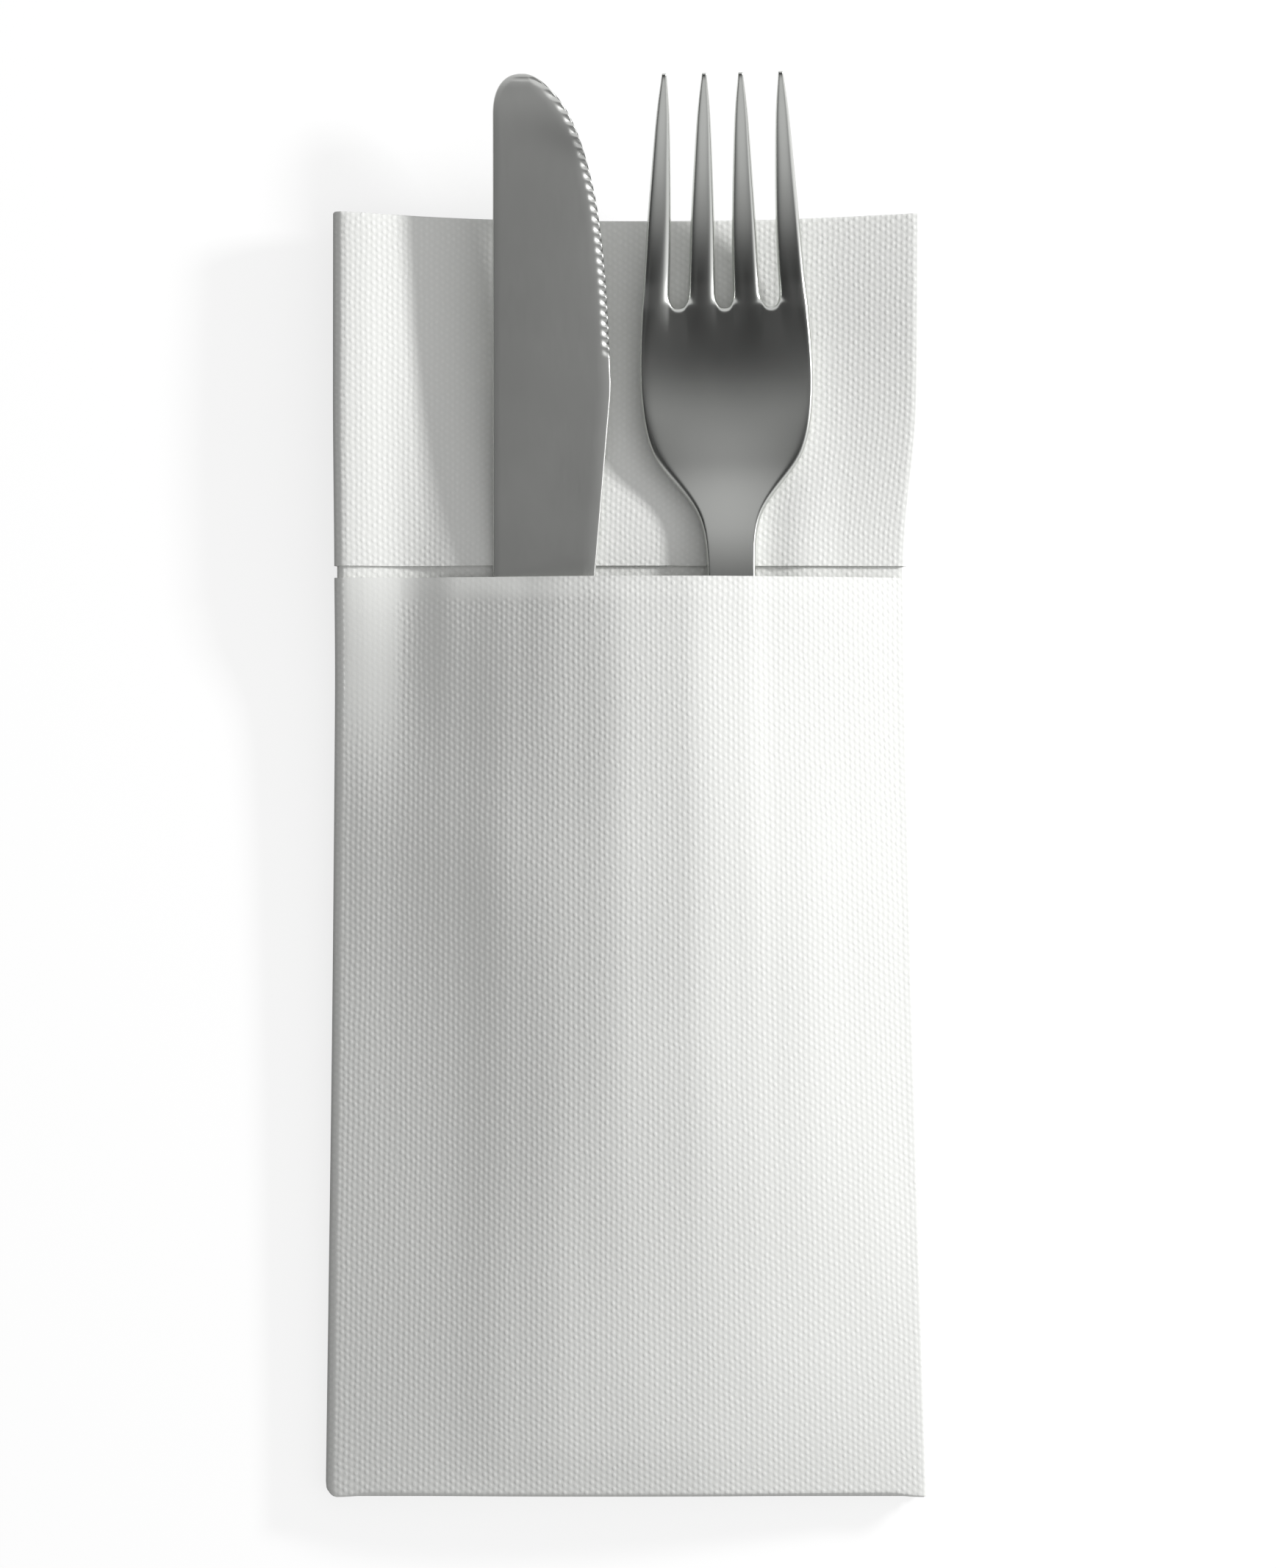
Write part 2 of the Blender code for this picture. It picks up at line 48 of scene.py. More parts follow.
# Sheet, as in the part
SHEET_WIDTH = 0.400
PAPER = 0.0003
LAYER_PITCH = 0.0005
NAPKIN_LENGTH = 0.2155
POCKET_DEPTH = 0.1545
STRIP_WIDTH = 0.0020
SIDE_ROWS = (0.0, 0.46, 0.72, 0.86, 1.0)
LEFT_ROWS = (0.0, 0.46, 0.63, 0.74, 0.86, 1.0)
LEFT_RISE = (0.0, 0.0010, 0.0018, 0.0046, 0.0048, 0.0044)
RIGHT_RISE = (0.0, 0.0018, 0.0030, 0.0030, 0.0022)
LEFT_DRAW = (-0.0005, 0.0008, 0.0012, 0.0010, 0.0010)
RIGHT_DRAW = (-0.0004, 0.0024, 0.0034, 0.0011, 0.0008)
MOUTH_RISE = 0.0034
RISE_BELOW = 0.045
RISE_ABOVE = 0.040
SEAT_GAP = 0.0003
PANELS = 4

FOLD_RADIUS = LAYER_PITCH / 2
PANEL = (SHEET_WIDTH - 5 * math.pi * LAYER_PITCH) / PANELS
PACKET_MIDDLE = (2 * PANELS - 1) * LAYER_PITCH / 2 + PAPER / 2
FRONT_PANEL = PACKET_MIDDLE + 3 * LAYER_PITCH
BACK_FACE = FRONT_PANEL - FOLD_RADIUS + PAPER / 2
FLAP_FACE = FRONT_PANEL + FOLD_RADIUS + PAPER / 2
FLAP_LENGTH = NAPKIN_LENGTH - POCKET_DEPTH - STRIP_WIDTH

# The pouch's front over the handles: heights in mm above its flat place, at places in mm
ARCH_X = (-49.0, -40.0, -30.0, -20.0, -10.0, 0.0, 10.0, 20.0, 30.0, 40.0, 49.0)
ARCH = (
    (0.0, (0.0, 1.2, 2.3, 3.0, 3.3, 3.3, 3.1, 2.5, 1.7, 0.8, 0.0)),
    (9.0, (0.0, 1.4, 2.8, 4.1, 4.7, 4.7, 4.4, 3.6, 2.5, 1.2, 0.0)),
    (25.0, (0.0, 1.6, 3.3, 5.0, 6.0, 6.2, 5.9, 5.1, 3.7, 1.8, 0.0)),
    (50.0, (0.0, 1.7, 3.6, 5.7, 7.2, 7.7, 7.5, 6.6, 5.0, 2.6, 0.0)),
    (80.0, (0.0, 2.0, 4.4, 6.9, 8.6, 9.4, 9.3, 8.2, 6.1, 3.0, 0.0)),
    (110.0, (0.0, 2.6, 5.6, 8.3, 10.0, 10.9, 10.9, 9.7, 7.0, 3.4, 0.0)),
    (135.0, (0.0, 1.5, 4.9, 8.0, 10.2, 11.3, 11.3, 9.8, 6.9, 3.4, 0.0)),
    (150.5, (0.0, 0.8, 4.6, 7.8, 10.0, 11.1, 11.1, 9.8, 7.0, 3.5, 0.0)),
    (154.5, (0.0, 0.6, 4.2, 6.9, 9.2, 10.4, 10.6, 9.5, 6.8, 3.4, 0.0)),
)


def between(stations, values, at):
    """Value at a place between stations, on straight lines, level beyond the first and the last."""
    if at <= stations[0]:
        return values[0]
    for i in range(1, len(stations)):
        if at <= stations[i]:
            share = (at - stations[i - 1]) / (stations[i] - stations[i - 1])
            return values[i - 1] + share * (values[i] - values[i - 1])
    return values[-1]


def smooth_between(points, at):
    """Value at a place on a smooth curve through (place, value) points, which never overshoots them."""
    places = [place for place, _ in points]
    values = [value for _, value in points]
    if at <= places[0]:
        return values[0]
    if at >= places[-1]:
        return values[-1]
    slopes = [(values[i + 1] - values[i]) / (places[i + 1] - places[i]) for i in range(len(points) - 1)]
    tangents = [slopes[0]]
    for before, after in zip(slopes, slopes[1:]):
        tangents.append(0 if before * after <= 0 else 2 * before * after / (before + after))
    tangents.append(slopes[-1])
    i = max(k for k in range(len(points) - 1) if places[k] <= at)
    step = places[i + 1] - places[i]
    t = (at - places[i]) / step
    start = values[i] * (1 + 2 * t) * (1 - t) ** 2 + tangents[i] * step * t * (1 - t) ** 2
    end = values[i + 1] * t * t * (3 - 2 * t) + tangents[i + 1] * step * t * t * (t - 1)
    return start + end


def ease(share):
    """0 to 1 with level ends."""
    share = min(1.0, max(0.0, share))
    return share * share * (3 - 2 * share)


def round_end(distance, length):
    """Share of the full width at a distance from the end of a piece that ends in a half ellipse."""
    inside = min(1.0, max(0.0, distance / length))
    return math.sqrt(1 - (1 - inside) ** 2)


def even(start, end, step):
    """Places from start to end, no more than a step apart."""
    count = max(1, math.ceil((end - start) / step - 1e-9))
    return [start + (end - start) * i / count for i in range(count + 1)]


def joined(*runs):
    """Runs of places in one sorted list, without those that meet twice."""
    places = []
    for place in sorted(place for run in runs for place in run):
        if not places or place - places[-1] > 1e-6:
            places.append(place)
    return places


def mouth_rise(y):
    stations = (
        POCKET_DEPTH - RISE_BELOW,
        POCKET_DEPTH,
        POCKET_DEPTH + STRIP_WIDTH,
        POCKET_DEPTH + STRIP_WIDTH + RISE_ABOVE,
    )
    return between(stations, (0.0, MOUTH_RISE, MOUTH_RISE, 0.0), y)


def bed(y):
    """Height of the layer that the steel lies on: the back inside the pouch, and the flap above its mouth."""
    level = BACK_FACE if y < POCKET_DEPTH else FLAP_FACE
    return level + mouth_rise(y)


def slab(columns, rows, gone=()):
    """A flat slab of unit squares, columns by rows, one unit thick, without the squares in gone."""
    bm = bmesh.new()
    bmesh.ops.create_grid(bm, x_segments=columns, y_segments=rows, size=0.5)
    for vert in bm.verts:
        vert.co.x = (vert.co.x + 0.5) * columns
        vert.co.y = (vert.co.y + 0.5) * rows
    drop = [f for f in bm.faces if tuple(int(c) for c in f.calc_center_median().xy) in gone]
    bmesh.ops.delete(bm, geom=drop, context="FACES")
    bmesh.ops.solidify(bm, geom=bm.faces[:], thickness=1)
    middle = sum(vert.co.z for vert in bm.verts) / len(bm.verts)
    for vert in bm.verts:
        vert.co.z -= middle
    return bm


def make_piece(name, bm, material, sharp_angle):
    """A mesh object in the row frame, faces out, shaded smooth except at edges sharper than the angle."""
    bmesh.ops.recalc_face_normals(bm, faces=bm.faces)
    if bm.calc_volume(signed=True) < 0:
        bmesh.ops.reverse_faces(bm, faces=bm.faces)
    bmesh.ops.translate(bm, vec=PART_ORIGIN, verts=bm.verts)
    mesh = bpy.data.meshes.new(name)
    bm.to_mesh(mesh)
    bm.free()
    mesh.materials.append(material)
    mesh.shade_smooth()
    mesh.set_sharp_from_angle(angle=sharp_angle)
    piece = bpy.data.objects.new(name, mesh)
    bpy.context.scene.collection.objects.link(piece)
    return piece


# ---- Paper sheet ----


LENGTH_PIECES = (
    (POCKET_DEPTH, 0),
    (math.pi * FOLD_RADIUS, math.pi),
    (NAPKIN_LENGTH, 0),
    (math.pi * FOLD_RADIUS, math.pi),
    (FLAP_LENGTH, 0),
)
WIDTH_PIECES = (
    (PANEL, 0),
    (3 * math.pi * LAYER_PITCH, -math.pi),
    (PANEL, 0),
    (math.pi * LAYER_PITCH, -math.pi),
    (PANEL, 0),
    (math.pi * LAYER_PITCH, math.pi),
    (PANEL, 0),
)
FRONT_START = PANEL + WIDTH_PIECES[1][0]
TURN_STEPS = 8


def trace(pieces, start, heading, distance, offset):
    """Point at a distance along a path of (length, turn) pieces, moved offset to the left of the path."""
    x, y = start
    for index, (length, turn) in enumerate(pieces):
        step = distance if index == len(pieces) - 1 else min(distance, length)
        if turn:
            radius = length / turn
            turned = heading + step / radius
            x += radius * (math.sin(turned) - math.sin(heading))
            y += radius * (math.cos(heading) - math.cos(turned))
            heading = turned
        else:
            x += step * math.cos(heading)
            y += step * math.sin(heading)
        distance -= step
        if distance <= 0:
            break
    return x - offset * math.sin(heading), y + offset * math.cos(heading)


def folded(u, v, w):
    """Where a point of the flat sheet comes to lie in the flat packet."""
    y, depth = trace(LENGTH_PIECES, (POCKET_DEPTH, FOLD_RADIUS), math.pi, v, -w)
    x, height = trace(WIDTH_PIECES, (PANEL / 2, -3 * LAYER_PITCH), math.pi, u, depth)
    return x, y, PACKET_MIDDLE + height


def stations_along(pieces, flat_stations):
    """Distances along a path at the flat stations of each straight piece and at even steps of each turn."""
    found = []
    start = 0
    for index, (length, turn) in enumerate(pieces):
        if turn:
            found += [start + length * step / TURN_STEPS for step in range(1, TURN_STEPS)]
        else:
            found += [start + at for at in flat_stations[index]]
        start += length
    return found


class Drape:
    """How the packet leaves the plane: its sides' rise, its mouth's rise, and its front's arch over the handles."""

    left_shares = ((-0.0490, 1.0), (-0.0460, 0.90), (-0.0400, 0.58), (-0.0330, 0.29), (-0.0260, 0.10), (-0.0180, 0.0))
    right_shares = ((0.0250, 0.0), (0.0330, 0.30), (0.0490, 1.0))
    inner_shares = (
        (-0.0450, 0.0),
        (-0.0400, 0.06),
        (-0.0300, 0.70),
        (-0.0235, 1.0),
        (0.0286, 1.0),
        (0.0388, 0.5),
        (0.0490, 0.0),
    )

    def __init__(self):
        self.rows = {}

    def arch_row(self, y):
        """(x, height) points of the arch at y."""
        if y not in self.rows:
            columns = range(len(ARCH_X))
            heights = [smooth_between([(at, row[k]) for at, row in ARCH], y / MM) for k in columns]
            self.rows[y] = list(zip(ARCH_X, heights))
        return self.rows[y]

    def front_arch(self, x, y):
        """How far the pouch's front stands above its flat place, with the paper's soft waves."""
        height = smooth_between(self.arch_row(y), x / MM) * MM
        waves = noise.noise((x * 28, y * 20, 0.3)) + 0.5 * noise.noise((x * 60, y * 45, 7.1))
        return height * (1 + 0.035 * waves)

    def side_rise(self, x, y):
        row = y / NAPKIN_LENGTH
        left = smooth_between(tuple(zip(LEFT_ROWS, LEFT_RISE)), row)
        right = smooth_between(tuple(zip(SIDE_ROWS, RIGHT_RISE)), row)
        return left * smooth_between(self.left_shares, x) + right * smooth_between(self.right_shares, x)

    def inner_rise(self, x, y):
        """Rise of the back and the flap at the mouth, with the paper's swell between the steel and over its left."""
        beside_fork = ease((FORK_X - fork_half_width(y - FORK_FROM_FOLD) - x) / SWELL_FADE)
        swell = SWELL * smooth_between(SWELL_ALONG, y) * smooth_between(SWELL_ACROSS, x) * beside_fork
        return mouth_rise(y) * smooth_between(self.inner_shares, x) + swell

    def drawn_in(self, x, y):
        """x with the packet's sides drawn in."""
        row = y / NAPKIN_LENGTH
        share = (x + PANEL / 2) / PANEL
        left = smooth_between(tuple(zip(SIDE_ROWS, LEFT_DRAW)), row) * (1 - share) ** 2
        right = smooth_between(tuple(zip(SIDE_ROWS, RIGHT_DRAW)), row) * share**2
        return x + left - right

    def dipped(self, x, y):
        """y with the top fold's hollow, between its corners."""
        share = max(0.0, (y - POCKET_DEPTH - STRIP_WIDTH) / FLAP_LENGTH)
        return y - TOP_DIP * (1 - (2 * x / PANEL) ** 2) * share

    def place(self, u, v, w):
        x, y, z = folded(u, v, w)
        if FRONT_START < u < FRONT_START + PANEL:
            turned = min(1.0, max(0.0, (v - POCKET_DEPTH) / (math.pi * FOLD_RADIUS)))
            if turned < 1:
                front = (1 + math.cos(math.pi * turned)) / 2
                z += self.front_arch(x, max(0.0, y)) * front
                y += FRONT_FOLD_SET * front * ease(1 - y / FRONT_FOLD_FADE) * ease((PANEL / 2 - abs(x)) / 0.006)
            else:
                z += self.inner_rise(x, y)
        x, y = round_corner(x, y)
        return Vector((self.drawn_in(x, y), self.dipped(x, y), z + self.side_rise(x, y)))


SWELL = 0.0008
SWELL_ALONG = ((0.118, 0.0), (0.150, 1.0), (0.168, 1.0), (0.196, 0.0))
SWELL_ACROSS = ((-0.042, 0.0), (-0.036, 0.1), (-0.028, 0.6), (-0.018, 1.0))
SWELL_FADE = 0.0045
TOP_DIP = 0.00105
FRONT_FOLD_SET = 0.0007
FRONT_FOLD_FADE = 0.020
CORNER_ROUND = 0.0013


def round_corner(x, y):
    """The place with the packet's bottom corners rounded off."""
    half = PANEL / 2 + 3 * LAYER_PITCH
    across = (abs(x) - half + CORNER_ROUND) / CORNER_ROUND
    down = (CORNER_ROUND - y) / CORNER_ROUND
    if across <= 0 or down <= 0:
        return x, y
    across, down = min(across, 1.2), min(down, 1.2)
    new_across = across * math.sqrt(1 - min(down, 1) ** 2 / 2)
    new_down = down * math.sqrt(1 - min(across, 1) ** 2 / 2)
    x = math.copysign(half - CORNER_ROUND + new_across * CORNER_ROUND, x)
    return x, CORNER_ROUND - new_down * CORNER_ROUND


def make_napkin(material):
    """The whole sheet: a flat slab of paper whose points are carried to their places in the folded packet."""
    drape = Drape()
    half = PANEL / 2
    sides = joined(even(-half, -0.0235, 0.0032), even(0.0286, half, 0.0034), even(-0.0235, 0.0286, 0.009))
    fine = joined(sides, even(-half, half, 0.0012))
    rightward = [x + half for x in sides]
    leftward = [half - x for x in reversed(sides)]
    across = stations_along(
        WIDTH_PIECES, {0: leftward, 2: [x + half for x in fine], 4: leftward, 6: rightward}
    )
    flap_edge = POCKET_DEPTH + STRIP_WIDTH
    rise_start = POCKET_DEPTH - RISE_BELOW
    upward = joined(
        [0.0004],
        even(0, 0.012, 0.001),
        even(0.012, rise_start, 0.0028),
        even(rise_start, POCKET_DEPTH - 0.006, 0.0025),
        even(POCKET_DEPTH - 0.006, POCKET_DEPTH, 0.0005),
    )
    above = joined(even(flap_edge, flap_edge + RISE_ABOVE, 0.003), even(flap_edge + RISE_ABOVE, NAPKIN_LENGTH, 0.003))
    along = stations_along(
        LENGTH_PIECES,
        {
            0: [POCKET_DEPTH - y for y in reversed(upward)],
            2: upward + above,
            4: [NAPKIN_LENGTH - y for y in reversed(above)],
        },
    )
    bm = slab(len(across) - 1, len(along) - 1)
    flat = bm.verts.layers.float_vector.new("flat")
    for vert in bm.verts:
        u = across[round(vert.co.x)]
        v = along[round(vert.co.y)]
        vert[flat] = Vector((u, v, 0))
        vert.co = drape.place(u, v, vert.co.z * PAPER)
    return make_piece("napkin_sheet", bm, material, math.radians(50))


# ---- Steel ----


KNIFE_LENGTH = 0.2325
KNIFE_FROM_FOLD = 0.0060
KNIFE_X = -0.0138
KNIFE_TILT = math.radians(1.4)
HANDLE_LENGTH = 0.128
HANDLE_WIDTH = 0.0195
HANDLE_THICKNESS = 0.0055
HANDLE_END_THICKNESS = 0.0036
HANDLE_END_LENGTH = 0.009
HANDLE_TAPER_START = 0.038
HANDLE_THICKEST = 0.058
BOLSTER_WIDTH = 0.012
BOLSTER_THICKNESS = 0.0040
HEEL_LENGTH = 0.020
HEEL_WIDTH = 0.0170
BLADE_WIDTH = 0.0197
SPINE_X = -0.0091
SPINE_THICKNESS = 0.0016
EDGE_THICKNESS = 0.0005
POINT_LENGTH = 0.0525
TIP_FROM_SPINE = 0.005
TIP_ROUND_LENGTH = 0.007
TIP_SQUARENESS = 2.4
# Roots of the shares of the point's length, from the tip, and shares of its width
POINT_PROFILE = (
    (0.0, 0.0),
    (0.138, 0.190),
    (0.218, 0.305),
    (0.322, 0.472),
    (0.434, 0.622),
    (0.524, 0.724),
    (0.669, 0.858),
    (0.827, 0.946),
    (1.0, 1.0),
)
HANDLE_SQUARENESS = 2.6
BLADE_BELLY = 2.0
SPINE_BEVEL = 0.0011
SPINE_BEVEL_DROP = 0.00016
EDGE_BEVEL = 0.0024
EDGE_BEVEL_DROP = 0.00017
BLADE_RIM = 0.00018
TIP_TAPER_LENGTH = 0.012
TIP_TAPER = 0.30
TOOTH_START = 0.1850
TOOTH_END = 0.2318
TOOTH_PITCH = 0.00169
TOOTH_SLANT = 0.25
TOOTH_REACH = 0.0013
TOOTH_DEPTH = 0.00036
TOOTH_WALL = 0.36
TOOTH_FIRST = 0.00065
BLADE_FLOOR = 0.00008
KNIFE_COLUMNS = 56
BELLY = KNIFE_LENGTH - POINT_LENGTH


def seated(points):
    """The points, raised or lowered until the lowest place is the seat's gap above the layer beneath."""
    rise = max(bed(p.y) + SEAT_GAP - p.z for p in points if p.y < NAPKIN_LENGTH)
    return [p + Vector((0, 0, rise)) for p in points]


def knife_sides(s):
    """Left and right side of the knife at a distance s from its handle's end."""
    heel = HANDLE_LENGTH + HEEL_LENGTH
    handle = HANDLE_WIDTH / 2
    left = smooth_between(
        ((0, -handle), (HANDLE_TAPER_START, -handle), (HANDLE_LENGTH, -BOLSTER_WIDTH / 2), (heel, SPINE_X)), s
    )
    right = smooth_between(
        (
            (0, handle),
            (HANDLE_TAPER_START, handle),
            (HANDLE_LENGTH, BOLSTER_WIDTH / 2),
            (heel, SPINE_X + HEEL_WIDTH),
            (BELLY, SPINE_X + BLADE_WIDTH),
        ),
        s,
    )
    if s > BELLY:
        tip_x = SPINE_X + TIP_FROM_SPINE
        to_tip = max(0.0, KNIFE_LENGTH - s)
        right = tip_x + (right - tip_x) * smooth_between(POINT_PROFILE, math.sqrt(to_tip / POINT_LENGTH))
        corner = 1 - min(1.0, to_tip / TIP_ROUND_LENGTH)
        left = tip_x + (left - tip_x) * (1 - corner**TIP_SQUARENESS) ** (1 / TIP_SQUARENESS)
    end = round_end(s, HANDLE_END_LENGTH)
    return left * end, right * end


def rim(distance, radius):
    """Share of the full thickness at a distance inside a rounded rim."""
    return round_end(distance, radius)


def tooth_cut(x, s, inside):
    """Depth of the serration's hollows at a place, and at a distance inside the edge."""
    if not TOOTH_START < s < TOOTH_END or inside > TOOTH_REACH:
        return 0.0
    turn = ((s + TOOTH_SLANT * (x - SPINE_X) - TOOTH_FIRST) / TOOTH_PITCH) % 1.0
    hollow = ease(turn / TOOTH_WALL) if turn < TOOTH_WALL else ease((1 - turn) / (1 - TOOTH_WALL))
    ends = ease((s - TOOTH_START) / 0.002)
    return TOOTH_DEPTH * hollow * ends * ease(1.25 * (1 - inside / TOOTH_REACH))


def handle_half(s, share):
    """Half thickness of the handle's oval section."""
    thick = smooth_between(
        (
            (0, HANDLE_END_THICKNESS),
            (HANDLE_THICKEST, HANDLE_THICKNESS),
            (HANDLE_LENGTH, BOLSTER_THICKNESS),
            (HANDLE_LENGTH + HEEL_LENGTH, SPINE_THICKNESS),
        ),
        s,
    )
    oval = (1 - abs(2 * share - 1) ** HANDLE_SQUARENESS) ** (1 / HANDLE_SQUARENESS)
    return oval * thick / 2 * math.sqrt(round_end(s, HANDLE_END_LENGTH))


def blade_top_and_bottom(s, share, left, right):
    """Heights of the blade's upper and lower faces, from its middle plane."""
    width = right - left
    lean_right = 1 / math.hypot(1, (knife_sides(s + 0.0002)[1] - knife_sides(s - 0.0002)[1]) / 0.0004)
    lean_left = 1 / math.hypot(1, (knife_sides(s + 0.0002)[0] - knife_sides(s - 0.0002)[0]) / 0.0004)
    to_tip = KNIFE_LENGTH - s
    from_left = min(share * width * lean_left, to_tip)
    from_right = min((1 - share) * width * lean_right, to_tip)
    across = (left + share * width - SPINE_X) / BLADE_WIDTH
    half = EDGE_THICKNESS / 2 + (SPINE_THICKNESS - EDGE_THICKNESS) / 2 * (1 - max(0.0, across) ** BLADE_BELLY)
    half *= 1 - TIP_TAPER * ease(1 - to_tip / TIP_TAPER_LENGTH) ** 2
    top = half - SPINE_BEVEL_DROP * max(0.0, 1 - from_left / SPINE_BEVEL) ** 1.5
    top -= EDGE_BEVEL_DROP * max(0.0, 1 - from_right / EDGE_BEVEL) ** 2
    top *= rim(from_left, BLADE_RIM) * rim(from_right, min(BLADE_RIM, half))
    bottom = -half * rim(from_left, BLADE_RIM) * rim(from_right, min(BLADE_RIM, half))
    top = max(top - tooth_cut(left + share * width, s, from_right), min(top, bottom + BLADE_FLOOR))
    return top, bottom


def knife_rows():
    ends = [HANDLE_END_LENGTH * (1 - math.cos(math.pi / 2 * i / 8)) for i in range(1, 9)]
    tip = [KNIFE_LENGTH - 0.004 * (1 - math.cos(math.pi / 2 * i / 16)) for i in range(1, 17)]
    return joined(
        [0.0001],
        ends,
        even(HANDLE_END_LENGTH, HANDLE_LENGTH, 0.004),
        even(HANDLE_LENGTH, TOOTH_START, 0.002),
        even(TOOTH_START, KNIFE_LENGTH - 0.004, 0.00021),
        tip,
        [KNIFE_LENGTH - 0.00002],
    )


def make_knife(material):
    """A table knife in one piece, with a rounded point and a scalloped edge."""
    lay = Matrix.Translation((KNIFE_X, KNIFE_FROM_FOLD, 0)) @ Matrix.Rotation(KNIFE_TILT, 4, "X")
    shares = [(1 - math.cos(math.pi * i / KNIFE_COLUMNS)) / 2 for i in range(KNIFE_COLUMNS + 1)]
    points = []
    for s in knife_rows():
        left, right = knife_sides(s)
        blade = ease((s - HANDLE_LENGTH) / HEEL_LENGTH)
        tops, bottoms = [], []
        for share in shares:
            oval = handle_half(s, share)
            top, bottom = blade_top_and_bottom(s, share, left, right) if blade else (0, 0)
            x = left + (right - left) * share
            tops.append(Vector((x, s, oval + (top - oval) * blade)))
            bottoms.append(Vector((x, s, -oval + (bottom + oval) * blade)))
        points.append([lay @ p for p in tops + bottoms[-2:0:-1]])
    count = len(points[0])
    flat = seated([p for one in points for p in one])
    bm = bmesh.new()
    made = [[bm.verts.new(p) for p in flat[i : i + count]] for i in range(0, len(flat), count)]
    for first, second in zip(made, made[1:]):
        for k in range(count):
            n = (k + 1) % count
            bm.faces.new((first[k], second[k], second[n], first[n]))
    bm.faces.new(made[0])
    bm.faces.new(reversed(made[-1]))
    return make_piece("table_knife", bm, material, math.radians(60))


FORK_LENGTH = 0.205
FORK_FROM_FOLD = 0.0324
FORK_X = 0.0159
FORK_ROLL = math.radians(1)
FORK_TILT = math.radians(0.5)
FORK_YAW = math.radians(1.3)
FORK_THICKNESS = 0.0024
TINE_LENGTH = 0.0375
TIP_THICKNESS = 0.0009
FORK_HEAD_WIDTH = 0.0292
FORK_NECK_WIDTH = 0.0081
FORK_NECK_THICKNESS = 0.0032
FORK_HANDLE_WIDTH = 0.0180
FORK_HANDLE_WIDEST = 0.025
FORK_NECK_START = 0.080
FORK_NECK_END = 0.046
FORK_BOWL_DEPTH = 0.0016
FORK_ARCH_HEIGHT = 0.0052
FORK_TIP_HEIGHT = 0.0125
FORK_END_LENGTH = 0.008
FORK_END_BLUNTNESS = 0.002
SHOULDER = (
    (0.0400, 0.29),
    (0.0350, 0.36),
    (0.0300, 0.60),
    (0.0250, 0.86),
    (0.0190, 0.965),
    (0.0120, 1.0),
    (0.0, 0.965),
)
FORK_ARCH = ((0.078, 1.0), (0.060, 0.93), (0.045, 0.72), (0.026, 0.27), (0.008, 0.0))
TINE_LINES = (-1.0, -0.665, -0.440, -0.106, 0.106, 0.440, 0.665, 1.0)
TINE_SPREAD_AT_TIP = (0.0096, 0.0030)
TINE_WIDTHS = ((0.0, 0.0008), (0.006, 0.0022), (0.013, 0.0031), (0.025, 0.0042), (0.0375, 0.0047))
TINE_RISE = ((0.11, 0.012), (0.21, 0.05), (0.32, 0.12), (0.48, 0.275), (0.69, 0.54), (1.0, 1.0))
FORK_ROOT = FORK_LENGTH - TINE_LENGTH
FORK_RIM = 0.0007
FORK_RIM_THINNING = 0.62
TINE_CROWN = 0.07
CROWN_FADE = 0.006
SLOT_SHARES = (-0.7, -0.35, 0.0, 0.35, 0.7)
SLOT_ROUND = 0.0016
SLOT_ROUND_FADE = 0.004
SLOT_RIM_THINNING = 0.70


def fork_half_width(s):
    """Half of the fork's width below its slots, at a distance s from its handle's end."""
    head = FORK_HEAD_WIDTH / 2
    neck = FORK_NECK_WIDTH / 2
    below = [
        (FORK_HANDLE_WIDEST, FORK_HANDLE_WIDTH / 2),
        (FORK_ROOT - FORK_NECK_START, 1.15 * neck),
        (FORK_ROOT - FORK_NECK_END, neck),
    ]
    width = smooth_between(below + [(FORK_ROOT - at, share * head) for at, share in SHOULDER], s)
    return width * round_end(s + FORK_END_BLUNTNESS, FORK_END_LENGTH)


def fork_height(s):
    """Height of the fork's middle surface along its length: low at both ends of the handle's arch."""
    arch = [(0.0, 0.0), (0.28 * FORK_ROOT, 0.25 * FORK_ARCH_HEIGHT)]
    arch += [(FORK_ROOT - at, share * FORK_ARCH_HEIGHT) for at, share in FORK_ARCH]
    tines = [(FORK_ROOT + at * TINE_LENGTH, share * FORK_TIP_HEIGHT) for at, share in TINE_RISE]
    return smooth_between(arch + tines, s)


def fork_thickness(s):
    return smooth_between(
        (
            (0, 0.8 * FORK_THICKNESS),
            (0.02, FORK_THICKNESS),
            (FORK_ROOT - FORK_NECK_END, FORK_NECK_THICKNESS),
            (FORK_ROOT - 0.020, FORK_THICKNESS),
            (FORK_ROOT + 0.010, FORK_THICKNESS),
            (FORK_LENGTH, TIP_THICKNESS),
        ),
        s,
    )


def tine_sides(tine, s):
    """Left and right side of a tine, or of its strip of the head below the slots."""
    if s <= FORK_ROOT:
        half = fork_half_width(s)
        return TINE_LINES[2 * tine] * half, TINE_LINES[2 * tine + 1] * half
    side = -1 if tine < 2 else 1
    at_root = (TINE_LINES[2 * tine] + TINE_LINES[2 * tine + 1]) / 2 * fork_half_width(FORK_ROOT)
    at_tip = side * TINE_SPREAD_AT_TIP[0 if tine in (0, 3) else 1]
    centre = at_root + (at_tip - at_root) * ((s - FORK_ROOT) / TINE_LENGTH) ** 0.8
    width = smooth_between(TINE_WIDTHS, FORK_LENGTH - s)
    return centre - width / 2, centre + width / 2


def fork_columns():
    """(tine, place) of each column: places of a tine run from -1 to 1, and those of the slot on its right from 2."""
    columns = []
    for tine in range(4):
        columns += [(tine, place) for place in (-1, -0.5, 0, 0.5, 1)]
        if tine < 3:
            columns += [(tine, 3 + share) for share in SLOT_SHARES]
    return columns


